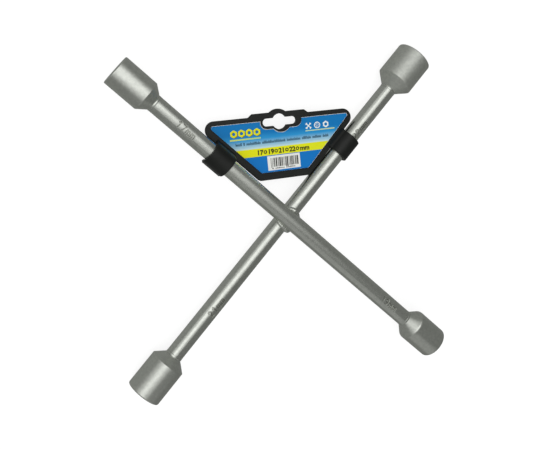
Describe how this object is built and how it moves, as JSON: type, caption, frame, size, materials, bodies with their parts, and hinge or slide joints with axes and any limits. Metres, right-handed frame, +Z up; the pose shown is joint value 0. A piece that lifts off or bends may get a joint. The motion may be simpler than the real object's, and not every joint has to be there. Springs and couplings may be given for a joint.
{
  "type": "four-way lug wrench",
  "caption": "Cross-shaped wheel nut wrench: two welded round steel bars with a hexagon socket on each end, and a clip-on moulded retail hanger between two arms.",
  "frame": {"origin": "on the surface the wrench lies on, straight below the crossing of its two bars, level with the lowest point of the 22 mm socket", "axes": "+X along the upper bar to the 19 mm socket, +Y along the lower bar to the 22 mm socket, +Z up, out of the side on which the hanger's card reads"},
  "size_m": [0.345, 0.345, 0.0391],
  "materials": {
    "satin_chrome": "satin",
    "black_plastic": "fine moulded grain",
    "printed_card": "gloss print on white card",
    "label_paper": "matt"
  },
  "bodies": {
    "wrench": {"cross_weld_east": "satin_chrome", "cross_weld_north": "satin_chrome", "cross_weld_south": "satin_chrome", "cross_weld_west": "satin_chrome", "front_bar": "satin_chrome", "neck_weld_17": "satin_chrome", "neck_weld_19": "satin_chrome", "neck_weld_21": "satin_chrome", "neck_weld_22": "satin_chrome", "rear_bar": "satin_chrome", "socket_17_mm": "satin_chrome", "socket_19_mm": "satin_chrome", "socket_21_mm": "satin_chrome", "socket_22_mm": "satin_chrome"},
    "hanger_set": {"hanger": "black_plastic", "printed_card": "printed_card", "barcode_label": "label_paper"}
  },
  "joints": [
    {"name": "hanger_lift", "type": "slide", "parent": "wrench", "child": "hanger_set", "axis": [0, 0, 1], "range_m": [0, 0.06]}
  ]
}
